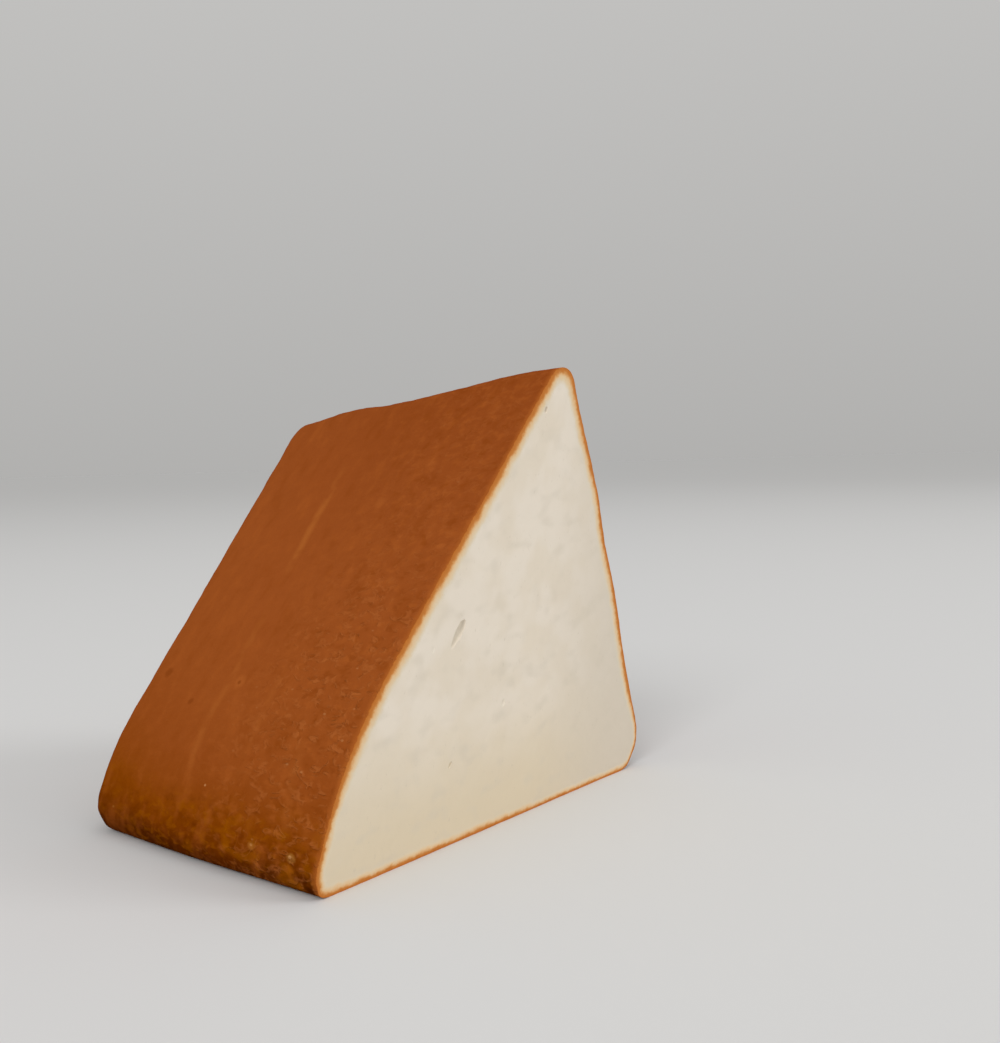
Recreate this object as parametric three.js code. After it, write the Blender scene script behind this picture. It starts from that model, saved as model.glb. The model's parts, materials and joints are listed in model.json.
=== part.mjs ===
// A triangular loaf of white bread, baked in a V-shaped tin and stood ridge up on its flat base.
// A knife has cut it across at one end. The other end keeps its baked, rounded edges.
// Units are millimetres. X runs across the loaf, Y from the cut face to the far end, and Z up.
// The origin is the middle of the bounding box, on the surface that the loaf stands on.

import * as THREE from 'three';

// ---- Driving dimensions ----

// A section is a triangle with a fourth corner low on its left, where that side bellies out.
// Each corner is [across, height, radius of its round], in order round the loaf.
const CUT_SECTION = [
  [10, 125.3, 7],       // ridge
  [72.3, 0, 9],         // right foot
  [-73.2, 0, 5],        // left foot
  [-66.6, 31, 100],     // left belly
];
const FAR_SECTION = [
  [11.9, 114.6, 6.5],
  [71.3, 0, 9],
  [-78.8, 0, 6],
  [-68.8, 20, 80],
];

const CUT_YAW_DEG = 6.1;        // how far the knife turned from square across the loaf
const CUT_LEAN_DEG = 8;         // how far the top of the cut face leans out over its foot
const BASE_LENGTH = 88.6;       // from the cut face to the far end, along the middle of the base
const FAR_LEAN_DEG = 6.6;       // how far the top of the far end leans back
const FAR_ROUND = 11.5;         // radius of the baked edges round the far end

// The ridge rises and sinks by this much, at even steps from the cut face to the far end.
const RIDGE_LIFT = [0, 0.8, 0.3, 0.1, 1, 0];

// Places where a side swells. along runs from 0 at the cut face to 1 at the far end.
const SWELLS = [
  { side: 1, depth: 1.5, along: 0, alongSpread: 0.5, height: 88, heightSpread: 12 },
  { side: 1, depth: 1.2, along: 0, alongSpread: 0.5, height: 58, heightSpread: 12 },
  { side: -1, depth: 1, along: 0.55, alongSpread: 0.4, height: 0, heightSpread: 30 },
];
const SWELL_FADE = 20;          // a swell fades out over this distance from the middle line

// The inset circle of the triangle: the baked edges shrink the section towards its centre.
const INCENTRE = new THREE.Vector2(4.5, 41.5);
const INRADIUS = 41.5;

// ---- Fineness of the faceted surface ----

const ROUND_STEPS = [8, 8, 6, 10];    // on the round of each corner
const EDGE_STEPS = [14, 14, 3, 14];   // on the straight after each corner
const LENGTH_STEPS = 29;
const FAR_ROUND_STEPS = 8;

const CRUST_COLOUR = 0xa8642c;

// ---- Section ----

// The round of one corner: points on the arc that touches both of its edges.
function cornerRound(before, corner, after, steps) {
  const tip = new THREE.Vector2(corner[0], corner[1]);
  const radius = corner[2];
  const towardsBefore = new THREE.Vector2(before[0], before[1]).sub(tip).normalize();
  const towardsAfter = new THREE.Vector2(after[0], after[1]).sub(tip).normalize();
  const halfAngle = Math.acos(towardsBefore.dot(towardsAfter)) / 2;
  const inwards = towardsBefore.clone().add(towardsAfter).normalize();
  const centre = tip.clone().addScaledVector(inwards, radius / Math.sin(halfAngle));
  const reach = radius / Math.tan(halfAngle);
  const start = tip.clone().addScaledVector(towardsBefore, reach).sub(centre);
  const end = tip.clone().addScaledVector(towardsAfter, reach).sub(centre);
  const sweep = Math.atan2(start.cross(end), start.dot(end));
  const points = [];
  for (let k = 0; k <= steps; k += 1) {
    points.push(start.clone().rotateAround(new THREE.Vector2(), (sweep * k) / steps).add(centre));
  }
  return points;
}

// The whole outline: the round of each corner, then the straight to the next round.
// Two outlines made with the same steps have points that answer one another.
function sectionOutline(corners) {
  const count = corners.length;
  const rounds = corners.map((corner, i) => {
    const before = corners[(i + count - 1) % count];
    const after = corners[(i + 1) % count];
    return cornerRound(before, corner, after, ROUND_STEPS[i]);
  });
  const outline = [];
  rounds.forEach((round, i) => {
    const last = round[round.length - 1];
    const next = rounds[(i + 1) % count][0];
    outline.push(...round);
    for (let k = 1; k < EDGE_STEPS[i]; k += 1) {
      outline.push(last.clone().lerp(next, k / EDGE_STEPS[i]));
    }
  });
  return outline;
}

const cutOutline = sectionOutline(CUT_SECTION);
const farOutline = sectionOutline(FAR_SECTION);
const ridgeHeight = Math.max(...cutOutline.map((point) => point.y));
const ridgeLine = new THREE.SplineCurve(RIDGE_LIFT.map((lift, i) => new THREE.Vector2(i, lift)));

// ---- Length ----

const slope = (degrees) => Math.tan(THREE.MathUtils.degToRad(degrees));
const cutPlane = (x, z) => x * slope(CUT_YAW_DEG) - z * slope(CUT_LEAN_DEG);
const farPlane = (z) => BASE_LENGTH + z * slope(FAR_LEAN_DEG);

// A bump that is 1 at its middle and fades to nothing a few spreads away.
const bump = (distance, spread) => Math.exp(-((distance / spread) ** 2));

// One point of the surface's outline at a place along the loaf, with the ridge and swells in it.
function unevenPoint(point, along) {
  const lift = ridgeLine.getPoint(along).y * (point.y / ridgeHeight);
  let across = point.x;
  for (const swell of SWELLS) {
    const fade = THREE.MathUtils.smoothstep(swell.side * (point.x - INCENTRE.x), 0, SWELL_FADE);
    const reach = bump(along - swell.along, swell.alongSpread)
      * bump(point.y - swell.height, swell.heightSpread);
    across += swell.side * swell.depth * fade * reach;
  }
  return new THREE.Vector2(across, point.y + lift);
}

// A ring of the baked length, from the cut plane to where the far round begins.
function lengthRing(along) {
  return cutOutline.map((cutPoint, j) => {
    const point = unevenPoint(cutPoint.clone().lerp(farOutline[j], along), along);
    const start = cutPlane(point.x, point.y);
    const end = farPlane(point.y) - FAR_ROUND;
    return new THREE.Vector3(point.x, THREE.MathUtils.lerp(start, end, along), point.y);
  });
}

// A ring of the far round. The section shrinks as its angle turns from the sides to the end face.
function farRing(angle) {
  const shrink = 1 - (FAR_ROUND * (1 - Math.cos(angle))) / INRADIUS;
  return farOutline.map((farPoint) => {
    const inset = farPoint.clone().sub(INCENTRE).multiplyScalar(shrink).add(INCENTRE);
    const point = unevenPoint(inset, 1);
    const behind = FAR_ROUND * (1 - Math.sin(angle));
    return new THREE.Vector3(point.x, farPlane(point.y) - behind, point.y);
  });
}

// ---- Solid ----

// The rings and the two flat ends become one closed surface with its faces outwards.
function closedLoft(rings) {
  const ringSize = rings[0].length;
  const vertices = rings.flat();
  const faces = [];
  for (let i = 0; i < rings.length - 1; i += 1) {
    for (let j = 0; j < ringSize; j += 1) {
      const next = (j + 1) % ringSize;
      const [a, b] = [i * ringSize + j, i * ringSize + next];
      const [c, d] = [b + ringSize, a + ringSize];
      faces.push(a, b, c, a, c, d);
    }
  }
  const addEnd = (ring, firstIndex, facesBack) => {
    const centre = ring.reduce((sum, point) => sum.add(point), new THREE.Vector3());
    vertices.push(centre.divideScalar(ringSize));
    for (let j = 0; j < ringSize; j += 1) {
      const here = firstIndex + j;
      const next = firstIndex + ((j + 1) % ringSize);
      faces.push(vertices.length - 1, facesBack ? here : next, facesBack ? next : here);
    }
  };
  addEnd(rings[0], 0, false);
  addEnd(rings[rings.length - 1], (rings.length - 1) * ringSize, true);

  const geometry = new THREE.BufferGeometry().setFromPoints(vertices);
  geometry.setIndex(faces);
  return geometry;
}

// Stands the solid on Z = 0 with the middle of its bounding box on the Z axis.
function centreOnBase(geometry) {
  geometry.computeBoundingBox();
  const middle = geometry.boundingBox.getCenter(new THREE.Vector3());
  geometry.translate(-middle.x, -middle.y, -geometry.boundingBox.min.z);
  return geometry;
}

function makeLoaf() {
  const rings = [];
  for (let i = 0; i <= LENGTH_STEPS; i += 1) {
    rings.push(lengthRing(i / LENGTH_STEPS));
  }
  for (let i = 1; i <= FAR_ROUND_STEPS; i += 1) {
    rings.push(farRing((i / FAR_ROUND_STEPS) * (Math.PI / 2)));
  }
  const geometry = centreOnBase(closedLoft(rings));
  geometry.computeVertexNormals();
  const material = new THREE.MeshStandardMaterial({
    color: CRUST_COLOUR, roughness: 0.7, metalness: 0, flatShading: true,
  });
  const loaf = new THREE.Mesh(geometry, material);
  loaf.name = 'loaf';
  return loaf;
}

const group = new THREE.Group();
group.add(makeLoaf());

export default group;
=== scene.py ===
# %% [markdown]
# # A triangular loaf of white bread
#
# This loaf was baked in a V-shaped tin and turned out with its ridge up. Some slices are gone, so one
# end is a knife cut through the creamy crumb, and the other end keeps its baked, rounded edges.
#
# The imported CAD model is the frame: it says how large the loaf is and where each face lies. This
# script gives that loaf its skin, its crumb and its colours. Everything is in metres, in the frame's
# own axes: X runs across the loaf, Y from the cut face to the far end, and Z up.

# %% Load the frame
import json
import math

import bpy
import numpy as np
from mathutils import Euler, Matrix, Vector
from mathutils.kdtree import KDTree

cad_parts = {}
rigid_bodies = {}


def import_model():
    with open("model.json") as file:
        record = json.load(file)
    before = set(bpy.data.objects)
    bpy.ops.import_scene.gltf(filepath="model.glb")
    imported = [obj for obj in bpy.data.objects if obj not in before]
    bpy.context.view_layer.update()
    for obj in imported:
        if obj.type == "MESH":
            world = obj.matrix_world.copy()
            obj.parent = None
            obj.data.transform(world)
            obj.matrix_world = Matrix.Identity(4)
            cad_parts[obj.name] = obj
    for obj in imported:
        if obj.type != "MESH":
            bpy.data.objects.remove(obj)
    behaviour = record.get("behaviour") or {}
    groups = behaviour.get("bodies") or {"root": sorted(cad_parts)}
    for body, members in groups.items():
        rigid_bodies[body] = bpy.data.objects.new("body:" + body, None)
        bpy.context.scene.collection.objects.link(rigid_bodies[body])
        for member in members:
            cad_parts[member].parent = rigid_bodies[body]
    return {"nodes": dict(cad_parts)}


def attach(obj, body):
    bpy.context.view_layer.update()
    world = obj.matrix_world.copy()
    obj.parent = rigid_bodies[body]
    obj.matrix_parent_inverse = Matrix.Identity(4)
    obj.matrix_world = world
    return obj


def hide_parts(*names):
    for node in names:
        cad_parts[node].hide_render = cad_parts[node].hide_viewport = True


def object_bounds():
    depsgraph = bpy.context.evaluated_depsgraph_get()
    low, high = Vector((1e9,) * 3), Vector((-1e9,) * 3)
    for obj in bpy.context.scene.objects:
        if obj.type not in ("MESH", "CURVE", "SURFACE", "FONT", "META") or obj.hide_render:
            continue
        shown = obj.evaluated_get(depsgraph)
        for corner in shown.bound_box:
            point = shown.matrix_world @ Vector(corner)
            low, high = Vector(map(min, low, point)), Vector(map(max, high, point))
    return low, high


MM = 0.001

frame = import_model()
cad_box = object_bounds()
cad_loaf = frame["nodes"]["loaf"]
print("frame box in mm", [[round(n / MM, 1) for n in corner] for corner in cad_box])

# %% [markdown]
# ## The camera
#
# The camera stands low, a hand span and a half from the loaf's middle, in front of the corner where
# the crust meets the cut face. A lens slightly shorter than normal keeps the perspective strong, so
# the near corner looks large. The camera is turned round the loaf, tipped down, and rolled by a
# degree and a half, in that order.

# %% Camera
CAMERA_PLACE = Vector((-227.6, -253.8, 94.5)) * MM
CAMERA_TURN = math.radians(-47.5)
CAMERA_TIP = math.radians(2.77)
CAMERA_ROLL = math.radians(-1.57)
LENS = 41.4

camera_data = bpy.data.cameras.new("camera")
camera_data.lens = LENS
camera_data.clip_start = 10 * MM
camera_data.clip_end = 500
camera = bpy.data.objects.new("camera", camera_data)
bpy.context.scene.collection.objects.link(camera)
aim = Euler((math.pi / 2 - CAMERA_TIP, 0, CAMERA_TURN)).to_matrix() @ Matrix.Rotation(CAMERA_ROLL, 3, "Z")
camera.matrix_world = Matrix.Translation(CAMERA_PLACE) @ aim.to_4x4()
bpy.context.scene.camera = camera
loaf_middle = (Vector(cad_box[0]) + Vector(cad_box[1])) / 2
print("camera to the loaf's middle in mm:", round((CAMERA_PLACE - loaf_middle).length / MM))

# %% [markdown]
# ## Picking up a piece
#
# Blender's operators act on whatever is selected, and loading the frame leaves its nodes selected.
# So before each job everything is put down and only the piece in hand is picked up. Faces are then
# chosen in code, by where they are or which way they look.

# %% Pick up a piece and its faces
def pick_up(piece):
    """Select one piece alone, in object mode, and make it the active one."""
    if bpy.context.mode != "OBJECT":
        bpy.ops.object.mode_set(mode="OBJECT")
    bpy.ops.object.select_all(action="DESELECT")
    piece.select_set(True)
    bpy.context.view_layer.objects.active = piece


def apply_modifiers(piece):
    """Make the result of every modifier permanent, from the first to the last."""
    pick_up(piece)
    for name in [modifier.name for modifier in piece.modifiers]:
        bpy.ops.object.modifier_apply(modifier=name)


def select_faces(piece, wanted):
    """Enter edit mode in face mode, with just the wanted faces selected."""
    pick_up(piece)
    bpy.ops.object.mode_set(mode="EDIT")
    bpy.ops.mesh.select_mode(type="FACE")
    bpy.ops.mesh.select_all(action="DESELECT")
    bpy.ops.object.mode_set(mode="OBJECT")
    piece.data.polygons.foreach_set("select", np.asarray(wanted, bool))
    bpy.ops.object.mode_set(mode="EDIT")


# %% [markdown]
# ## Measuring a piece
#
# The loaf's skin has many thousands of points, and a loop that asks each one for its place is slow.
# Reading them all into one array is quick, and sums on the array then work on every point at once.
# A vertex group holds a weight for each point, and says how strongly a modifier acts there.

# %% Measure a piece
def read_all(items, name, width=1, kind=float):
    """One property of every vertex or face, as an array with a row for each."""
    values = np.empty(len(items) * width, kind)
    items.foreach_get(name, values)
    return values.reshape(-1, width) if width > 1 else values


def fade(values, start, end):
    """0 at start and 1 at end, with a soft step between them. start may be the larger one."""
    share = np.clip((values - start) / (end - start), 0, 1)
    return share * share * (3 - 2 * share)


def paint_weights(piece, name, weights):
    """Store one weight for each vertex in a vertex group of that name."""
    group = piece.vertex_groups.new(name=name)
    for index, weight in enumerate(weights):
        if weight > 0:
            group.add([index], float(weight), "REPLACE")


def count_triangles(piece):
    """How many triangles the piece's faces come to."""
    corners = read_all(piece.data.polygons, "loop_total", kind=np.int32)
    return int(corners.sum() - 2 * len(corners))


# %% [markdown]
# ## Start from the frame's loaf
#
# The frame's solid already has the right outline, so the bread starts as a copy of it. The copy
# comes as loose triangles, and merging the points that lie on each other makes it one skin.

# %% Copy the loaf
MERGE_WITHIN = 0.01 * MM

bread = bpy.data.objects.new("bread", cad_loaf.data.copy())
bpy.context.scene.collection.objects.link(bread)
bread.data.materials.clear()
pick_up(bread)
bpy.ops.object.mode_set(mode="EDIT")
bpy.ops.mesh.select_all(action="SELECT")
bpy.ops.mesh.remove_doubles(threshold=MERGE_WITHIN)
bpy.ops.object.mode_set(mode="OBJECT")
print("copied skin:", len(bread.data.vertices), "points")

# %% [markdown]
# ## Find the cut
#
# The knife went through a little askew, and it leaned back on the way down. The faces that look
# along -Y are the cut, and their average gives its middle and the way it looks. The two directions
# that lie in the cut, across and up, are worked out from that, and place everything on it later.

# %% Find the cut
LOOKS_OUT_OF_CUT = -0.9

face_centres = read_all(bread.data.polygons, "center", 3)
face_normals = read_all(bread.data.polygons, "normal", 3)
face_areas = read_all(bread.data.polygons, "area")
on_cut = face_normals[:, 1] < LOOKS_OUT_OF_CUT
cut_normal = Vector(np.average(face_normals[on_cut], axis=0, weights=face_areas[on_cut])).normalized()
cut_centre = Vector(np.average(face_centres[on_cut], axis=0, weights=face_areas[on_cut]))
across_cut = Vector((0, 0, 1)).cross(cut_normal).normalized()
up_cut = cut_normal.cross(across_cut)
cut_turn = Matrix((across_cut, up_cut, cut_normal)).transposed()
print("cut centre in mm", [round(n / MM, 1) for n in cut_centre], "looks", [round(n, 3) for n in cut_normal])

# %% [markdown]
# ## Turn the loaf to clay
#
# Crust has no corners and no straight lines, so the hard CAD faces become clay: a voxel remesh
# rebuilds the skin as an even net of small squares, and smoothing takes the steps out of it. The cut
# has to stay sharp, though, so the loaf first runs on a little past it, and is cut off again later.

# %% Clay
RUN_ON = 8 * MM
CLAY_GRAIN = 0.9 * MM
SMOOTHING_SHARE = 0.5
SMOOTHING_ROUNDS = 14

select_faces(bread, on_cut)
bpy.ops.mesh.extrude_region_move(TRANSFORM_OT_translate={"value": (0, -RUN_ON, 0)})
bpy.ops.object.mode_set(mode="OBJECT")
clay = bread.modifiers.new("clay", "REMESH")
clay.mode = "VOXEL"
clay.voxel_size = CLAY_GRAIN
clay.use_smooth_shade = True
smoothing = bread.modifiers.new("smoothing", "SMOOTH")
smoothing.factor = SMOOTHING_SHARE
smoothing.iterations = SMOOTHING_ROUNDS
apply_modifiers(bread)
print("clay:", len(bread.data.polygons), "faces")

# %% [markdown]
# ## The crust's unevenness
#
# A tin gives flat sides, and the oven makes them uneven again: broad shallow hollows where the dough
# pulled back, smaller lumps, and a fine leathery grain. Low down, where the crust stays soft and fat
# collects, it blisters. Each of these is a Displace modifier with a cloud texture. They only press
# inwards, so the loaf never grows out of its frame, and the base stays flat to stand on.

# %% Press textures into the crust
BASE_EDGE = 0.3 * MM
UNEVEN_FROM = 4 * MM
BLISTERED_FROM = 3 * MM
FOOT_TOP = 10 * MM
FOOT_FADED = 26 * MM
CRUST_TEXTURES = (
    # name, grain and depth in mm, where
    ("hollows", 26, 0.70, "above base"),
    ("lumps", 7, 0.28, "above base"),
    ("leather", 2.4, 0.14, "above base"),
    ("blisters", 4.5, 0.60, "foot"),
)


def press_texture(piece, name, size, depth, where="", outermost=1.0, direction="NORMAL"):
    """Press a cloud texture into a piece. Where the texture is at outermost, the skin stays put."""
    texture = bpy.data.textures.new(name, "CLOUDS")
    texture.noise_scale = size
    texture.noise_depth = 1
    press = piece.modifiers.new(name, "DISPLACE")
    press.texture = texture
    press.texture_coords = "LOCAL"
    press.direction = direction
    press.strength = depth
    press.mid_level = outermost
    press.vertex_group = where


skin_height = read_all(bread.data.vertices, "co", 3)[:, 2]
foot_weights = fade(skin_height, BASE_EDGE, BLISTERED_FROM) * fade(skin_height, FOOT_FADED, FOOT_TOP)
paint_weights(bread, "above base", fade(skin_height, BASE_EDGE, UNEVEN_FROM))
paint_weights(bread, "foot", foot_weights)
for name, size, depth, where in CRUST_TEXTURES:
    press_texture(bread, name, size * MM, depth * MM, where)
apply_modifiers(bread)
print("pressed into the crust:", ", ".join(name for name, *_ in CRUST_TEXTURES))

# %% [markdown]
# ## A light base
#
# The base is flat and faces the floor, so it needs few points. The Decimate operator works on what
# is selected, and here that is every face of the base that looks down. The points that it saves are
# worth more on the crust and the cut.

# %% Lighten the base
FACES_DOWN = -0.95
BASE_KEEPS = 0.12

face_centres = read_all(bread.data.polygons, "center", 3)
face_normals = read_all(bread.data.polygons, "normal", 3)
select_faces(bread, (face_normals[:, 2] < FACES_DOWN) & (face_centres[:, 2] < BASE_EDGE))
bpy.ops.mesh.decimate(ratio=BASE_KEEPS)
bpy.ops.object.mode_set(mode="OBJECT")
print("crust:", count_triangles(bread), "triangles")

# %% [markdown]
# ## The knife
#
# The cut face isn't a flat plane: the blade wavers, and the crumb tears a little behind it. So the
# knife is modelled as a thick slab with a fine grid on the side that meets the bread, and that grid
# carries the waves. Its grid also gives the cut face enough points for the relief and the colours.

# %% Make the knife
KNIFE_STEP = 0.7 * MM
KNIFE_WIDTH = 156 * MM
KNIFE_HEIGHT = 136 * MM
KNIFE_RAISED = 12 * MM
KNIFE_TEXTURES = (
    # name, grain and depth in mm
    ("wavering blade", 14, 0.30),
    ("torn crumb", 2.2, 0.14),
)

bpy.ops.object.select_all(action="DESELECT")
bpy.ops.mesh.primitive_grid_add(
    x_subdivisions=round(KNIFE_WIDTH / KNIFE_STEP),
    y_subdivisions=round(KNIFE_HEIGHT / KNIFE_STEP),
    size=1,
)
knife = bpy.context.active_object
knife.name = "knife"
bpy.ops.object.mode_set(mode="EDIT")
bpy.ops.transform.resize(value=(KNIFE_WIDTH, KNIFE_HEIGHT, 1))
bpy.ops.object.mode_set(mode="OBJECT")
for name, size, depth in KNIFE_TEXTURES:
    press_texture(knife, name, size * MM, -depth * MM, outermost=0, direction="Z")
apply_modifiers(knife)
bpy.ops.object.mode_set(mode="EDIT")
bpy.ops.mesh.select_all(action="SELECT")
bpy.ops.mesh.extrude_region_move(TRANSFORM_OT_translate={"value": (0, 0, 2 * RUN_ON)})
bpy.ops.mesh.select_all(action="SELECT")
bpy.ops.mesh.normals_make_consistent(inside=False)
bpy.ops.object.mode_set(mode="OBJECT")
knife.matrix_world = Matrix.Translation(cut_centre + up_cut * KNIFE_RAISED) @ cut_turn.to_4x4()
bpy.ops.object.transform_apply(location=True, rotation=True, scale=True)
print("knife:", count_triangles(knife), "triangles")

# %% [markdown]
# ## The slit
#
# One long slit shows in the crumb, where the dough was folded when it was shaped. It is wide and
# open at its top and closes to a line below. A ball is stretched along X, narrowed at one end by the
# Simple Deform modifier, turned to its slant, and sunk halfway into the cut face.

# %% Make the slit
SLIT_PLACE = (-26.9, 10.9)
SLIT_LENGTH = 8.4
SLIT_WIDTH = 3.2
SLIT_THICKNESS = 2.8
SLIT_TAPER = 0.6
SLIT_SLANT = math.radians(55)
RAGGED_GRAIN = 1.2 * MM
RAGGED_DEPTH = 0.3 * MM


def on_cut_face(right, up):
    """A point on the cut face, right and up from its middle, in millimetres."""
    return cut_centre + (across_cut * right + up_cut * up) * MM


bpy.ops.object.select_all(action="DESELECT")
bpy.ops.mesh.primitive_uv_sphere_add(segments=24, ring_count=24, radius=0.5 * MM)
slit = bpy.context.active_object
slit.name = "slit"
bpy.ops.object.mode_set(mode="EDIT")
bpy.ops.transform.resize(value=(SLIT_LENGTH, SLIT_WIDTH, SLIT_THICKNESS))
bpy.ops.object.mode_set(mode="OBJECT")
taper = slit.modifiers.new("taper", "SIMPLE_DEFORM")
taper.deform_method = "TAPER"
taper.deform_axis = "X"
taper.factor = SLIT_TAPER
press_texture(slit, "ragged dough", RAGGED_GRAIN, RAGGED_DEPTH)
apply_modifiers(slit)
slant = Matrix.Rotation(SLIT_SLANT, 3, "Z")
slit.matrix_world = Matrix.Translation(on_cut_face(*SLIT_PLACE)) @ (cut_turn @ slant).to_4x4()
bpy.ops.object.transform_apply(location=True, rotation=True, scale=True)
print("slit in mm:", SLIT_LENGTH, "long,", SLIT_WIDTH, "wide,", SLIT_THICKNESS / 2, "deep")

# %% [markdown]
# ## Air holes
#
# White tin bread has a close crumb, with few holes large enough to see. Those are shallow pits,
# stretched balls that are sunk into the cut face and taken away from it. The list says where each
# one lies on the cut face, in millimetres right and up from its middle, then its length, width and
# depth, and how far it leans in degrees.

# %% Make the air holes
AIR_HOLES = (
    (2.2, 65.5, 2.0, 1.3, 0.9, 70),
    (-5.5, -10.0, 2.4, 1.8, 0.5, 80),
    (15.2, -10.2, 2.8, 1.5, 0.3, 20),
    (0.2, 0.4, 3.0, 1.4, 0.3, 35),
    (-36.0, 8.4, 1.8, 1.2, 0.4, 90),
    (-26.0, -22.0, 2.0, 1.0, 0.6, 60),
)


def add_hole(right, up, length, width, depth, lean):
    """Add one stretched ball to the mesh in edit mode. Sizes are in millimetres, lean in degrees."""
    bpy.ops.mesh.primitive_ico_sphere_add(
        subdivisions=2,
        radius=MM,
        location=on_cut_face(right, up),
        rotation=(cut_turn @ Matrix.Rotation(math.radians(lean), 3, "Z")).to_euler(),
        scale=(length / 2, width / 2, depth),
    )


holes = bpy.data.objects.new("air holes", bpy.data.meshes.new("air holes"))
bpy.context.scene.collection.objects.link(holes)
pick_up(holes)
bpy.ops.object.mode_set(mode="EDIT")
for air_hole in AIR_HOLES:
    add_hole(*air_hole)
bpy.ops.object.mode_set(mode="OBJECT")
print("air holes:", len(AIR_HOLES))

# %% [markdown]
# ## The cut
#
# The Boolean modifier takes the knife, the slit and the air holes away from the loaf. All three
# carry the crumb's material, so the faces that they leave behind are crumb, and the rest is crust.

# %% Cut the bread
CRUST, CRUMB = 0, 1
ROUNDED_BELOW = math.radians(45)

crust = bpy.data.materials.new("crust")
crumb = bpy.data.materials.new("crumb")
for piece, finish in ((bread, CRUST), (knife, CRUMB), (slit, CRUMB), (holes, CRUMB)):
    piece.data.materials.append(crust)
    piece.data.materials.append(crumb)
    piece.data.polygons.foreach_set("material_index", [finish] * len(piece.data.polygons))
for tool in (knife, slit, holes):
    cutting = bread.modifiers.new(tool.name, "BOOLEAN")
    cutting.operation = "DIFFERENCE"
    cutting.solver = "MANIFOLD"
    cutting.object = tool
apply_modifiers(bread)
for tool in (knife, slit, holes):
    bpy.data.objects.remove(tool)
bpy.ops.object.shade_smooth_by_angle(angle=ROUNDED_BELOW)
print("cut loaf:", count_triangles(bread), "triangles")

# %% [markdown]
# ## Brush off the slivers
#
# Where the wavy blade meets the uneven crust, it can shave off a sliver that hangs on nothing.
# It is too small to see, but the loaf should be one closed skin. Everything joined to the base is the
# loaf, so Select Linked spreads from there, and what it doesn't reach is deleted.

# %% Brush off slivers
faces_before = len(bread.data.polygons)
face_centres = read_all(bread.data.polygons, "center", 3)
select_faces(bread, face_centres[:, 2] < BASE_EDGE)
bpy.ops.mesh.select_linked()
bpy.ops.mesh.select_all(action="INVERT")
bpy.ops.mesh.delete(type="VERT")
bpy.ops.object.mode_set(mode="OBJECT")
print("slivers brushed off:", faces_before - len(bread.data.polygons), "faces")

# %% [markdown]
# ## How far from the rim
#
# Where crust and crumb meet is the rim. The rind inside it and the cut edge outside it are both
# bands that follow the rim, so both materials need to know how far each point lies from it. No
# coordinate says that. It is measured here instead, to the nearest of many points along the rim's
# edges, and stored on the mesh as an attribute.

# %% Measure the distance from the rim
POINTS_ON_EDGE = (0, 0.25, 0.5, 0.75)

finishes_of_edge = {}
for face in bread.data.polygons:
    for edge in face.edge_keys:
        finishes_of_edge.setdefault(edge, set()).add(face.material_index)
rim = [edge for edge, finishes in finishes_of_edge.items() if finishes == {CRUST, CRUMB}]
nearest_rim = KDTree(len(rim) * len(POINTS_ON_EDGE))
for start, end in rim:
    for share in POINTS_ON_EDGE:
        nearest_rim.insert(bread.data.vertices[start].co.lerp(bread.data.vertices[end].co, share), start)
nearest_rim.balance()

from_rim = [nearest_rim.find(vertex.co)[2] for vertex in bread.data.vertices]
bread.data.attributes.new("from rim", "FLOAT", "POINT").data.foreach_set("value", from_rim)
print("rim:", len(rim), "edges, the furthest point in mm:", round(max(from_rim) / MM, 1))

# %% [markdown]
# ## Tools for the finishes
#
# A procedural material is a small sum: the place on the piece goes into noise, and noise decides
# between colours and heights. A few helpers keep each line of that sum readable. An input may be a
# number or another node's output, and a new node joins the material of the outputs that feed it.

# %% Node helpers
def new_node(tree, kind, **settings):
    """Add a shader node to a material's node tree, and set its properties."""
    node = tree.nodes.new("ShaderNode" + kind)
    for name, value in settings.items():
        setattr(node, name, value)
    return node


def fed_node(kind, inputs, **settings):
    """Add a node beside the ones that feed it. Each input is a number or another node's output."""
    feeds = [value for value in inputs.values() if isinstance(value, bpy.types.NodeSocket)]
    tree = feeds[0].id_data
    node = new_node(tree, kind, **settings)
    for name, value in inputs.items():
        if value in feeds:
            tree.links.new(value, node.inputs[name])
        else:
            node.inputs[name].default_value = value
    return node


def open_material(material):
    """Turn on a material's nodes. Returns its shader and the place on the piece, in metres."""
    material.use_nodes = True
    coordinates = new_node(material.node_tree, "TexCoord")
    return material.node_tree.nodes["Principled BSDF"], coordinates.outputs["Object"]


def connect(output, shader_input):
    """Lead a node's output into the shader."""
    output.id_data.links.new(output, shader_input)


def maths(operation, *values):
    """One sum on one, two or three values."""
    return fed_node("Math", dict(enumerate(values)), operation=operation).outputs["Value"]


def times(*shares):
    """The product of several shares."""
    product = shares[0]
    for share in shares[1:]:
        product = maths("MULTIPLY", product, share)
    return product


def soft_step(value, start, end, low=0.0, high=1.0):
    """low where value is at start, high where it is at end, and a soft step between them."""
    inputs = {"Value": value, "From Min": start, "From Max": end, "To Min": low, "To Max": high}
    return fed_node("MapRange", inputs, interpolation_type="SMOOTHSTEP").outputs["Result"]


def blend(share, first, second):
    """Mix two colours: the first where share is 0, the second where it is 1."""
    colours = [c if isinstance(c, bpy.types.NodeSocket) else (*c, 1) for c in (first, second)]
    return fed_node("Mix", {0: share, 6: colours[0], 7: colours[1]}, data_type="RGBA").outputs[2]


# %% [markdown]
# ## Patterns
#
# Everything on bread is uneven, and noise gives that. Its grain is set in millimetres, and most
# grain here is drawn out along the loaf, the way the dough was rolled and lay in its tin. Noise also
# pushes other values about, so that no band or line keeps a clean edge.

# %% Pattern helpers
ALONG_LOAF = (1, 1.8, 1)


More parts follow.
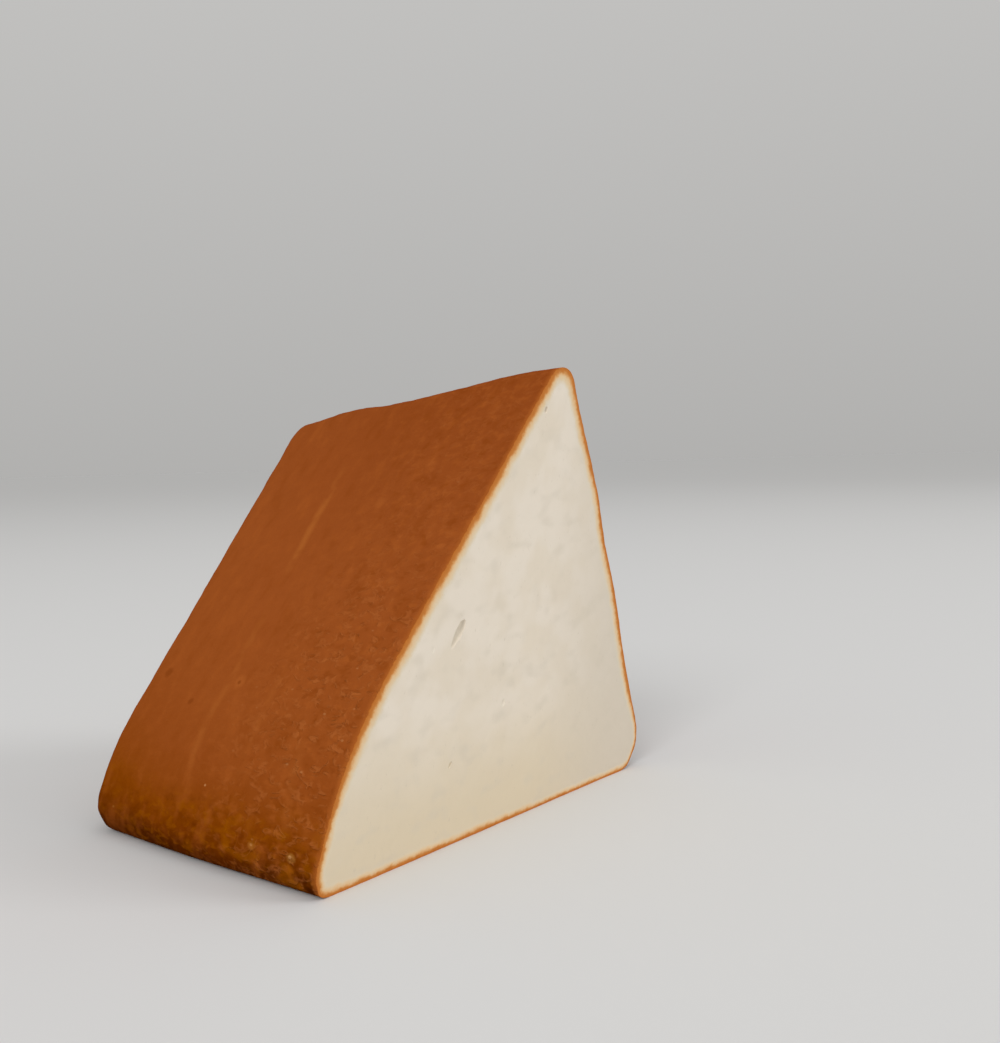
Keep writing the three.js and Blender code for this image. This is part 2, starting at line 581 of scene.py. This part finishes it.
def grain(place, size, stretch=(1, 1, 1), octaves=2, roughness=0.5, twist=0.0):
    """Soft random grain from 0 to 1. stretch draws it out along X, Y and Z."""
    scale = tuple(1 / (size * s) for s in stretch)
    mapped = fed_node("Mapping", {"Vector": place, "Scale": scale}).outputs["Vector"]
    inputs = {"Vector": mapped, "Scale": 1.0, "Detail": octaves, "Roughness": roughness, "Distortion": twist}
    return fed_node("TexNoise", inputs).outputs["Fac"]


def wobble(value, pattern, reach):
    """A value pushed down where a pattern is low and up where it is high. reach is the whole way."""
    return maths("MULTIPLY_ADD", maths("SUBTRACT", pattern, 0.5), reach, value)


def two_tone(colour, pattern, light, dark, share, high=(0.50, 0.75), low=(0.47, 0.25)):
    """Lighten a colour where a pattern goes from middling to high, darken it where it gets low."""
    colour = blend(times(soft_step(pattern, *high), share), colour, light)
    return blend(times(soft_step(pattern, *low), share), colour, dark)


def near_level(noise, level, width):
    """1 where a noise is at a level, falling to 0 at width from it: thin lines that wind like folds."""
    off_level = maths("ABSOLUTE", maths("SUBTRACT", noise, level))
    return soft_step(off_level, width, 0)


SPECK_CORE = 0.4


def specks(place, spacing, radius, share):
    """Sparse round specks, drawn out along the loaf. share is how many of their places are used."""
    scale = tuple(1 / (spacing * s) for s in ALONG_LOAF)
    mapped = fed_node("Mapping", {"Vector": place, "Scale": scale}).outputs["Vector"]
    cells = fed_node("TexVoronoi", {"Vector": mapped, "Scale": 1.0})
    spot = soft_step(cells.outputs["Distance"], radius / spacing, SPECK_CORE * radius / spacing)
    chance = fed_node("SeparateColor", {"Color": cells.outputs["Color"]}).outputs["Red"]
    return times(spot, maths("LESS_THAN", chance, share))


def colour_scale(value, stops):
    """The tone that belongs to a value in metres. Each stop is a level in millimetres and its tone."""
    lowest, highest = stops[0][0], stops[-1][0]
    inputs = {"Value": value, "From Min": lowest * MM, "From Max": highest * MM}
    place_on_scale = fed_node("MapRange", inputs).outputs["Result"]
    scale = fed_node("ValToRGB", {"Fac": place_on_scale})
    marks = scale.color_ramp.elements
    marks[0].color = (*stops[0][1], 1)
    marks[1].color = (*stops[-1][1], 1)
    for level, tone in stops[1:-1]:
        marks.new((level - lowest) / (highest - lowest)).color = (*tone, 1)
    return scale.outputs["Color"]


def relief(height, depth, below=None):
    """Fine relief too small for the mesh. depth is how far height 1 stands out, in metres."""
    inputs = {"Height": height, "Distance": depth}
    if below is not None:
        inputs["Normal"] = below
    return fed_node("Bump", inputs).outputs["Normal"]


# %% [markdown]
# ## The crust's brown
#
# Baked crust is a warm brown that hardly changes over most of its height. It is a little deeper on
# the ridge, partly from baking and partly as painted shade where the ridge turns away from the light.
# Low down, where the fat in the tin fried the dough, it turns to amber, then to caramel, and the
# lowest few millimetres darken nearly to black: partly burnt, partly painted shade under the foot.
# So height decides the colour, and a slow noise on the height makes the bands ragged. At the far end
# the amber reaches further up.

# %% Crust colour by height
CRUST_TONES_AND_SHADE = (
    # height in mm, tone
    # the darkest tones at the foot and the two at the ridge are partly painted shade
    (0.0, (0.050, 0.0090, 0.0003)),
    (4.0, (0.090, 0.0165, 0.0003)),
    (8.0, (0.180, 0.0370, 0.0003)),
    (12.0, (0.238, 0.0525, 0.0015)),
    (17.0, (0.277, 0.0625, 0.0065)),
    (24.0, (0.305, 0.0710, 0.0110)),
    (36.0, (0.327, 0.0790, 0.0140)),
    (60.0, (0.331, 0.0802, 0.0154)),
    (95.0, (0.310, 0.0728, 0.0138)),
    (120.0, (0.290, 0.0645, 0.0110)),
)
BAND_GRAIN = 7 * MM
BAND_REACH = 5 * MM
FAR_FROM_CUT = 40 * MM
FAR_END_SHARE = 0.78

shader, place = open_material(crust)
side, along, height = fed_node("SeparateXYZ", {"Vector": place}).outputs
height_share = soft_step(along, 0, FAR_FROM_CUT, 1, FAR_END_SHARE)
baked = wobble(times(height, height_share), grain(place, BAND_GRAIN, ALONG_LOAF), BAND_REACH)
colour = colour_scale(baked, CRUST_TONES_AND_SHADE)
print("crust tones from foot to ridge:", len(CRUST_TONES_AND_SHADE))

# %% [markdown]
# ## Clouds and mottles
#
# No two patches of crust baked alike. Wide soft clouds make it lighter and darker, and smaller
# mottles do so again. Both blend the brown towards a lighter and a darker one, so that it never
# turns grey. The mottles are strongest near the cut, where the crust dried since it was cut.

# %% Clouds and mottles
BROWN_LIGHT = (0.430, 0.1120, 0.0200)
BROWN_DARK = (0.240, 0.0480, 0.0030)
CLOUD_SIZE = 5 * MM
CLOUD_STRETCH = (1.6, 1, 2.0)
CLOUD_SHARE = 0.24
MOTTLE_SIZE = 2.4 * MM
MOTTLE_SHARE = 0.40
MOIST_SHARE = 0.25
DRY_AT = -40 * MM
MOIST_AT = 12 * MM

cloud = grain(place, CLOUD_SIZE, CLOUD_STRETCH)
colour = two_tone(colour, cloud, BROWN_LIGHT, BROWN_DARK, CLOUD_SHARE)
dryness = soft_step(along, MOIST_AT, DRY_AT, MOIST_SHARE, 1.0)
mottle = grain(place, MOTTLE_SIZE, ALONG_LOAF)
colour = two_tone(colour, mottle, BROWN_LIGHT, BROWN_DARK, times(dryness, MOTTLE_SHARE))
print("clouds and mottles:", len(crust.node_tree.nodes), "nodes so far")

# %% [markdown]
# ## Where the crust is leathery
#
# Close up the crust near the cut is leather, and it gets smoother towards the far end and the ridge.
# One share says how leathery each place is. The wrinkles and the painted glints both fade with it.

# %% Leathery crust
LEATHERY_AT = -38 * MM
SMOOTH_AT = 4 * MM
SMOOTH_SHARE = 0.1
LEATHERY_UP_TO = 48 * MM
RIDGE_FROM = 78 * MM
RIDGE_SHARE = 0.35

leather = times(
    soft_step(along, SMOOTH_AT, LEATHERY_AT, SMOOTH_SHARE, 1.0),
    soft_step(height, LEATHERY_UP_TO, RIDGE_FROM, 1.0, RIDGE_SHARE),
)
print("leathery crust: all of it at the cut,", SMOOTH_SHARE, "of it at the far end")

# %% [markdown]
# ## Wrinkles
#
# Short curly wrinkles cover the leather, most of them along the loaf. Each is a raised crest with a
# painted highlight on it and painted shade in the gap beside it, as if lit from one side. The line
# where a noise passes one level winds like a fold, so a crest is drawn there, and its shaded gap at a
# slightly lower level. A second noise tears the long folds into short curls.

# %% Wrinkles
WRINKLE_HIGHLIGHT = (0.500, 0.1560, 0.0400)
WRINKLE_HIGHLIGHT_SHARE = 0.32
GAP_SHADE = (0.190, 0.0350, 0.0015)
GAP_SHADE_SHARE = 0.30
CURL_SIZE = 2.5 * MM
CURL_LEVEL = 0.53
GAP_LEVEL = 0.38
CURL_WIDTH = 0.11
TEAR_SIZE = 1.9 * MM
TEARS = (0.44, 0.60)

curls = grain(place, CURL_SIZE, ALONG_LOAF, twist=1.0)
torn = soft_step(grain(place, TEAR_SIZE, ALONG_LOAF, octaves=1), *TEARS)
wrinkle_and_highlight = times(near_level(curls, CURL_LEVEL, CURL_WIDTH), torn, leather)
shaded_gap = times(near_level(curls, GAP_LEVEL, CURL_WIDTH), torn, leather)
# painted highlight on the crests, then painted shade in the gaps beside them
colour = blend(times(wrinkle_and_highlight, WRINKLE_HIGHLIGHT_SHARE), colour, WRINKLE_HIGHLIGHT)
colour = blend(times(shaded_gap, GAP_SHADE_SHARE), colour, GAP_SHADE)
print("wrinkles:", len(crust.node_tree.nodes), "nodes so far")

# %% [markdown]
# ## Painted glints
#
# Tiny pale specks of painted highlight, glints on the leathery crust, are scattered over it. A
# Voronoi texture scatters them: it fills space with cells, a speck is drawn round the middle of a
# cell, and the cell's random colour decides whether it is there at all.

# %% Painted glints
PALE_GLINT = (0.660, 0.3300, 0.1300)
PALE_GLINT_SHARE = 0.24
PALE_GLINT_SPACING = 3.4 * MM
PALE_GLINT_RADIUS = 0.40 * MM
PALE_GLINT_CHANCE = 0.3

# painted highlights: pale glints on the leathery crust
pale_glints = times(specks(place, PALE_GLINT_SPACING, PALE_GLINT_RADIUS, PALE_GLINT_CHANCE), leather)
colour = blend(times(pale_glints, PALE_GLINT_SHARE), colour, PALE_GLINT)
print("flour:", len(crust.node_tree.nodes), "nodes so far")

# %% [markdown]
# ## Rub marks
#
# The long pale lines down one side are where it rubbed against the tin. Each is drawn as a distance
# from a line that wavers a little and drifts along the loaf on its way up. They are patchy, fade at
# both ends, and are kept to the left of the ridge, which leans a little to the right.

# %% Rub marks
RUBBED = (0.450, 0.1350, 0.0260)
RUB_MARKS = (
    # distance along the loaf at the foot, drift of it on the way up, lowest and highest end, strength
    (0.5, 0.115, 64, 97, 0.55),
    (1.0, 0.100, 14, 60, 0.32),
    (-38.0, 0.080, 10, 34, 0.30),
    (-17.0, 0.030, 18, 50, 0.18),
)
RUB_WIDTH = 2.3 * MM
RUB_WAVER = 3 * MM
RUB_BEND = 16 * MM
PATCH_SIZE = 6 * MM
PATCHES = (0.30, 0.60)
LOWER_FADE = 8
UPPER_FADE = 10
RIDGE_LEANS = 0.12
RIDGE_HALF_WIDTH = 2 * MM

from_ridge = maths("MULTIPLY_ADD", height, -RIDGE_LEANS, side)
left_of_ridge = soft_step(from_ridge, RIDGE_HALF_WIDTH, -RIDGE_HALF_WIDTH)
patchiness = soft_step(grain(place, PATCH_SIZE), *PATCHES)
wavering = wobble(along, grain(place, RUB_BEND), RUB_WAVER)
for start, drift, low, high, strength in RUB_MARKS:
    line = maths("MULTIPLY_ADD", height, -drift, wavering)
    off_line = maths("ABSOLUTE", maths("SUBTRACT", line, start * MM))
    mark = soft_step(off_line, RUB_WIDTH, 0, 0, strength)
    lower_end = soft_step(height, low * MM, (low + LOWER_FADE) * MM)
    upper_end = soft_step(height, high * MM, (high - UPPER_FADE) * MM)
    colour = blend(times(mark, lower_end, upper_end, patchiness, left_of_ridge), colour, RUBBED)
print("rub marks:", len(RUB_MARKS))

# %% [markdown]
# ## Spots
#
# A few spots on the same side are scorched or pale, and a few low ones are painted glints, some pale
# and some golden. Seen from the side each is round or a little longer along the loaf. So the distance
# to its middle is taken in that view, with the height counted more, and the mottles make its edge
# uneven.

# %% Spots
SCORCHED = (0.160, 0.0280, 0.0010)
PALE = (0.450, 0.1250, 0.0250)
GOLDEN_GLINT = (0.600, 0.3000, 0.0600)
SPOTS = (
    # along the loaf, height, radius, tone, strength
    (36.4, 39.4, 2.0, SCORCHED, 0.40),
    (17.0, 34.6, 1.3, SCORCHED, 0.35),
    (0.7, 40.7, 2.6, PALE, 0.40),
    (0.7, 40.7, 0.8, SCORCHED, 0.45),
    (-15.4, 84.9, 2.4, PALE, 0.30),
    # the pale and golden glints at the foot below are painted highlights
    (-5.0, 18.4, 0.45, PALE_GLINT, 0.50),
    (-26.9, 8.5, 1.5, GOLDEN_GLINT, 0.22),
    (-26.9, 8.7, 0.6, PALE_GLINT, 0.50),
    (-40.5, 8.1, 1.7, GOLDEN_GLINT, 0.30),
    (-40.2, 8.3, 0.6, PALE_GLINT, 0.65),
    (-1.1, 8.4, 1.6, SCORCHED, 0.45),
    (-22.7, 9.3, 1.4, SCORCHED, 0.45),
)
FLATTENED = 1.5
OUTER_EDGE = 1.2
INNER_EDGE = 0.4

side_view = fed_node("Mapping", {"Vector": place, "Scale": (0, 1, FLATTENED)}).outputs["Vector"]
for spot_along, spot_height, radius, tone, strength in SPOTS:
    middle = (0, spot_along * MM, FLATTENED * spot_height * MM)
    off_spot = fed_node("VectorMath", {0: side_view, 1: middle}, operation="DISTANCE").outputs["Value"]
    off_spot = wobble(off_spot, mottle, radius * MM)
    spot = soft_step(off_spot, OUTER_EDGE * radius * MM, INNER_EDGE * radius * MM, 0, strength)
    colour = blend(times(spot, left_of_ridge), colour, tone)
print("spots:", len(SPOTS))

# %% [markdown]
# ## The fried foot
#
# The fat in the tin fried the crust near the base, and less of it towards the far end. This is the
# amber band, so the same uneven height that made the band says where it is.

# %% Where the foot is fried
FRIED_UP_TO = 20 * MM
FRIED_ALL_OVER = 9 * MM
FAR_FROM_FAT = 34 * MM
NEAR_FAT = 4 * MM
FAR_FRIED_SHARE = 0.45

fried = times(
    soft_step(baked, FRIED_UP_TO, FRIED_ALL_OVER),
    soft_step(along, FAR_FROM_FAT, NEAR_FAT, FAR_FRIED_SHARE, 1.0),
)
print("fried up to about", round(FRIED_UP_TO / MM), "mm")

# %% [markdown]
# ## Traces of fat
#
# The fat left soft pools of gold and of dark caramel, and small blisters of the same two tones. A
# few bright points on them are painted glints. The pools and blisters are two-tone patterns, like the
# mottles, but their levels lie closer together, so that their edges are harder.

# %% Foot colour
FAT_GOLD = (0.340, 0.0960, 0.0003)
CARAMEL = (0.120, 0.0200, 0.0003)
FAT_LEVELS = {"high": (0.52, 0.69), "low": (0.43, 0.28)}
POOL_SIZE = 4 * MM
POOL_SHARE = 0.35
BLISTER_SIZE = 1.8 * MM
BLISTER_SHARE = 0.32
FOOT_GLINT_SPACING = 5.0 * MM
FOOT_GLINT_RADIUS = 0.40 * MM
FOOT_GLINT_CHANCE = 0.25
FOOT_GLINT_SHARE = 0.3

pool = grain(place, POOL_SIZE, ALONG_LOAF, roughness=0.45, twist=0.3)
colour = two_tone(colour, pool, FAT_GOLD, CARAMEL, times(fried, POOL_SHARE), **FAT_LEVELS)
blister = grain(place, BLISTER_SIZE, ALONG_LOAF, twist=0.4)
colour = two_tone(colour, blister, FAT_GOLD, CARAMEL, times(fried, BLISTER_SHARE), **FAT_LEVELS)
# painted glints: bright points of painted highlight on the fried foot
foot_glints = times(specks(place, FOOT_GLINT_SPACING, FOOT_GLINT_RADIUS, FOOT_GLINT_CHANCE), fried)
colour = blend(times(foot_glints, FOOT_GLINT_SHARE), colour, GOLDEN_GLINT)
print("fried foot:", len(crust.node_tree.nodes), "nodes so far")

# %% [markdown]
# ## The cut edge of the crust
#
# Where the knife went through it, the crust's edge is paler than its skin, and its last fraction of
# a millimetre has the rind's colour. The mesh's own rim is a smooth line, so one noise moves the
# painted rim in and out. The crumb's material uses the same noise, so the two meet everywhere.

# %% Cut edge of the crust
RIND_BROWN = (0.545, 0.1750, 0.0260)
CUT_EDGE = (0.430, 0.1180, 0.0210)
CUT_EDGE_WIDTH = 2.0 * MM
CUT_EDGE_SHARE = 0.7
RIM_WAVER = 1.3 * MM
RIM_GRAIN = 2.2 * MM
RIND_FROM = 0.2 * MM
ALL_RIND_AT = -0.1 * MM


def rim_distance(material):
    """The distance from the rim that was stored on the mesh, in metres."""
    return new_node(material.node_tree, "Attribute", attribute_name="from rim").outputs["Fac"]


def rim_noise(place):
    """The noise that moves the painted rim, the same in both materials."""
    return grain(place, RIM_GRAIN, octaves=3, roughness=0.75)


outside = wobble(rim_distance(crust), rim_noise(place), -RIM_WAVER)
colour = blend(soft_step(outside, CUT_EDGE_WIDTH, 0, 0, CUT_EDGE_SHARE), colour, CUT_EDGE)
colour = blend(soft_step(outside, RIND_FROM, ALL_RIND_AT), colour, RIND_BROWN)
connect(colour, shader.inputs["Base Color"])
print("crust colour:", len(crust.node_tree.nodes), "nodes")

# %% [markdown]
# ## The crust's relief
#
# What is too fine for the mesh is relief in the material: mottles, wrinkles, blisters and a fine
# grain, each laid over the one before. The crust is matt, so its shader has no mirror-like shine at
# all, which would lay a white haze over the brown where it turns away. The fried foot is smoother.

# %% Crust relief
MOTTLE_RELIEF = 0.14 * MM
WRINKLE_RELIEF = 0.20 * MM
BLISTER_RELIEF = 0.25 * MM
GRAIN_RELIEF = 0.04 * MM
FINE_GRAIN = 0.6 * MM
FOOT_ROUGHNESS = 0.5
CRUST_ROUGHNESS = 0.6
SMOOTH_FOOT_TOP = 8 * MM

skin = relief(mottle, MOTTLE_RELIEF)
skin = relief(wrinkle_and_highlight, WRINKLE_RELIEF, skin)
skin = relief(times(blister, fried), BLISTER_RELIEF, skin)
skin = relief(grain(place, FINE_GRAIN), GRAIN_RELIEF, skin)
connect(skin, shader.inputs["Normal"])
roughness = soft_step(baked, SMOOTH_FOOT_TOP, FRIED_UP_TO, FOOT_ROUGHNESS, CRUST_ROUGHNESS)
connect(roughness, shader.inputs["Roughness"])
shader.inputs["Specular IOR Level"].default_value = 0.0
print("crust finish:", len(crust.node_tree.nodes), "nodes")

# %% [markdown]
# ## The crumb's finish
#
# The crumb is cream, soft and matt, and nearly even, with faint warm clouds. Towards the base it is
# painted darker and more yellow, painted shade with a warm reflected light in it, and to the right it
# is painted a little greyer, which is painted shade.

# %% Crumb colour
CREAM = (0.839, 0.755, 0.642)
CREAM_WARM = (0.804, 0.713, 0.585)
LOW_WARM_SHADE = (0.755, 0.645, 0.475)
RIGHT_SHADE = (0.700, 0.622, 0.515)
WARM_CLOUD_SIZE = 11 * MM
WARM_LEVELS = (0.38, 0.66)
LOW_SHADE_ENDS = 40 * MM
LOW_SHADE_FULL = 6 * MM
RIGHT_SHADE_FROM = 5 * MM
RIGHT_SHADE_FULL = 60 * MM
RIGHT_SHADE_SHARE = 0.9

shader, place = open_material(crumb)
side, along, height = fed_node("SeparateXYZ", {"Vector": place}).outputs
cream = blend(soft_step(grain(place, WARM_CLOUD_SIZE), *WARM_LEVELS), CREAM, CREAM_WARM)
# painted shade with a warm reflected tint towards the base
cream = blend(soft_step(height, LOW_SHADE_ENDS, LOW_SHADE_FULL), cream, LOW_WARM_SHADE)
# painted shade towards the right
cream = blend(soft_step(side, RIGHT_SHADE_FROM, RIGHT_SHADE_FULL, 0, RIGHT_SHADE_SHARE), cream, RIGHT_SHADE)
print("cream:", len(crumb.node_tree.nodes), "nodes so far")

# %% [markdown]
# ## Hollows and pores
#
# A few soft hollows and fine pores, each painted darker as the shade inside it, are enough to make
# cream into crumb, and strong ones would make it look like stone. Each is drawn where a noise gets
# low, so that they lie scattered with plain crumb between them.

# %% Hollows and pores
HOLLOW_SHADE = (0.680, 0.605, 0.490)
HOLLOW_SIZE = 4.4 * MM
HOLLOW_LEVELS = (0.50, 0.20)
HOLLOW_SHARE = 0.42
PORE_SHADE = (0.600, 0.520, 0.400)
PORE_SIZE = 0.8 * MM
PORE_LEVELS = (0.36, 0.22)
PORE_SHARE = 0.35

hollows = grain(place, HOLLOW_SIZE, stretch=(1.5, 1, 1), octaves=1.5, roughness=0.4)
# painted shade in soft hollows, then in fine pores
cream = blend(soft_step(hollows, *HOLLOW_LEVELS, 0, HOLLOW_SHARE), cream, HOLLOW_SHADE)
pores = grain(place, PORE_SIZE, stretch=(1, 1, 1.8), roughness=0.6)
cream = blend(soft_step(pores, *PORE_LEVELS, 0, PORE_SHARE), cream, PORE_SHADE)
print("crumb colour:", len(crumb.node_tree.nodes), "nodes so far")

# %% [markdown]
# ## Shade in the slit
#
# Inside the slit the crumb is painted a touch darker and greener: painted shade in the hollow. How
# deep a point lies behind the cut face is its distance from the cut's plane, which a dot product with
# the direction that the cut looks in gives. The slit is deepest. The bottoms of the deeper air holes
# get a little of the painted shade too, and the waves of the cut face itself next to none.

# %% Shade in the slit
SLIT_SHADE = (0.340, 0.290, 0.160)
SHADE_FROM = 0.3 * MM
SHADE_FULL = 0.9 * MM
SHADE_SHARE = 0.20

outwards = fed_node("VectorMath", {0: place, 1: cut_normal}, operation="DOT_PRODUCT").outputs["Value"]
sunk = maths("SUBTRACT", cut_centre.dot(cut_normal), outwards)
# painted shade, stronger the deeper a point lies behind the cut face
cream = blend(soft_step(sunk, SHADE_FROM, SHADE_FULL, 0, SHADE_SHARE), cream, SLIT_SHADE)
print("shaded from", round(SHADE_FROM / MM, 1), "mm behind the cut face")

# %% [markdown]
# ## The rind
#
# On the cut face the crust shows as a thin rind, and the distance from the rim will decide its colour.
# Noise is added to the distance first, so that the colours fray into each other, but little at the
# very edge, which the knife left clean. The rind is thinner at the foot and to the right, so the
# distance counts for more there.

# %% Depth into the rind
CLEAN_EDGE = 1.2 * MM
FRAY = 1.2 * MM
SLOW_FRAY = 1.8 * MM
FRAY_GRAIN = 1.3 * MM
SLOW_GRAIN = 6 * MM
THICK_ABOVE = 34 * MM
THIN_BELOW = 8 * MM
THIN_LOW = 1.6
THIN_TO_RIGHT = 25 * MM
THIN_RIGHT = 1.25

from_edge = wobble(rim_distance(crumb), rim_noise(place), RIM_WAVER)
frays = soft_step(from_edge, 0, CLEAN_EDGE)
thinner_low = soft_step(height, THICK_ABOVE, THIN_BELOW, 1.0, THIN_LOW)
thinner_right = soft_step(side, 0, THIN_TO_RIGHT, 1.0, THIN_RIGHT)
depth = times(from_edge, thinner_low, thinner_right)
depth = wobble(depth, grain(place, FRAY_GRAIN, octaves=3, roughness=0.65), times(frays, FRAY))
depth = wobble(depth, grain(place, SLOW_GRAIN), times(frays, SLOW_FRAY))
print("depth into the rind:", len(crumb.node_tree.nodes), "nodes so far")

# %% [markdown]
# ## The rind's colours
#
# The rind is brown outside and fades through gold to cream. Its tones are given in millimetres from
# the edge, the way they would be read off a slice with a ruler. Over the last two of those
# millimetres the crumb's own cream takes over.

# %% Rind colour
RIND_TONES = (
    # distance from the rim in mm, tone
    (-0.20, (0.380, 0.095, 0.014)),
    (0.05, (0.500, 0.155, 0.022)),
    (0.25, (0.555, 0.180, 0.027)),
    (0.95, (0.580, 0.203, 0.037)),
    (1.25, (0.631, 0.262, 0.067)),
    (1.55, (0.706, 0.365, 0.135)),
    (1.85, (0.762, 0.460, 0.220)),
    (2.25, (0.790, 0.545, 0.300)),
    (2.80, (0.793, 0.600, 0.370)),
    (3.60, (0.782, 0.650, 0.465)),
    (5.00, (0.780, 0.695, 0.565)),
)
RIND_FADES_FROM = 3 * MM
RIND_END = 5 * MM

rind = colour_scale(depth, RIND_TONES)
colour = blend(soft_step(depth, RIND_END, RIND_FADES_FROM), cream, rind)
connect(colour, shader.inputs["Base Color"])
print("rind tones from the edge inwards:", len(RIND_TONES))

# %% [markdown]
# ## The crumb's touch
#
# The pores are also relief, so that the crumb isn't smooth under a low light. Crumb scatters light
# every way, so it is rough and has next to no shine.

# %% Crumb relief
PORE_RELIEF = 0.04 * MM
CRUMB_ROUGHNESS = 0.85
CRUMB_SHINE = 0.2

connect(relief(pores, PORE_RELIEF), shader.inputs["Normal"])
shader.inputs["Roughness"].default_value = CRUMB_ROUGHNESS
shader.inputs["Specular IOR Level"].default_value = CRUMB_SHINE
print("crumb finish:", len(crumb.node_tree.nodes), "nodes")

# %% [markdown]
# ## The floor
#
# The loaf stands on a wide, plain, pale floor. It isn't part of the object. It is matt, so that it
# shows soft shadows and no reflection.

# %% Floor
FLOOR_GREY = 0.72
FLOOR_SIZE = 240
FLOOR_ROUGHNESS = 0.9

bpy.ops.object.select_all(action="DESELECT")
bpy.ops.mesh.primitive_plane_add(size=FLOOR_SIZE)
floor = bpy.context.active_object
floor.name = "floor"
floor_paint = bpy.data.materials.new("floor")
floor_paint.use_nodes = True
floor_shader = floor_paint.node_tree.nodes["Principled BSDF"]
floor_shader.inputs["Base Color"].default_value = (FLOOR_GREY, FLOOR_GREY, FLOOR_GREY, 1)
floor_shader.inputs["Roughness"].default_value = FLOOR_ROUGHNESS
floor_shader.inputs["Specular IOR Level"].default_value = 0.0
floor.data.materials.append(floor_paint)
print("floor:", FLOOR_SIZE, "m across")

# %% [markdown]
# ## The sky
#
# The sky lights the loaf softly from all round. It is brightest overhead, and at the horizon it has
# the brightness that it gives the floor, so that the floor runs into it without an edge. A sky that
# rises evenly from horizon to zenith lights a flat floor with a third of the first and two thirds of
# the second, and the floor throws back its own grey share of that.

# %% Sky
ZENITH = 0.70
HORIZON = ZENITH * (2 / 3) * FLOOR_GREY / (1 - FLOOR_GREY / 3)
SKY_TINT = (1, 0.99, 0.97, 1)

world = bpy.data.worlds.new("studio")
bpy.context.scene.world = world
world.use_nodes = True
background = world.node_tree.nodes["Background"]
direction = new_node(world.node_tree, "TexCoord").outputs["Generated"]
rise = fed_node("SeparateXYZ", {"Vector": direction}).outputs["Z"]
brightness = fed_node("MapRange", {"Value": rise, "To Min": HORIZON, "To Max": ZENITH}).outputs["Result"]
connect(brightness, background.inputs["Strength"])
background.inputs["Color"].default_value = SKY_TINT
print("sky from", round(HORIZON, 2), "at the horizon to", ZENITH, "overhead")

# %% [markdown]
# ## The lamps
#
# One large lamp in front and to the right lights the cut face, and a smaller one to the left grazes
# the crust, which brings out its leather. Both stand well back, so that they light the loaf evenly.
# Their light is kept to a cone, because a lamp that shines wide makes the floor under it too bright,
# and that shows as a strip behind the loaf when it is seen from other sides.

# %% Lamps
LAMP_AIM = Vector((0, 0, 50)) * MM
LAMP_SPREAD = math.radians(100)
LAMPS = (
    # name, place and side in metres, watts
    ("key", (2.25, -3.3, 1.8), 1.8, 15.3),
    ("side", (-3.3, -1.65, 2.25), 1.35, 18.8),
)


def add_lamp(name, place, size, power):
    """Add a square lamp that looks at the middle of the loaf."""
    lamp_data = bpy.data.lights.new(name, "AREA")
    lamp_data.size = size
    lamp_data.energy = power
    lamp_data.spread = LAMP_SPREAD
    lamp = bpy.data.objects.new(name, lamp_data)
    bpy.context.scene.collection.objects.link(lamp)
    lamp.location = place
    lamp.rotation_euler = (LAMP_AIM - Vector(place)).to_track_quat("-Z", "Y").to_euler()
    print(name, "lamp", round(Vector(place).length, 1), "m away")


for lamp in LAMPS:
    add_lamp(*lamp)
bpy.context.scene.view_settings.view_transform = "Standard"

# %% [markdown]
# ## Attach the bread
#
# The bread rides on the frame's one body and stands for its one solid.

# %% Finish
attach(bread, "root")
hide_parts("loaf")
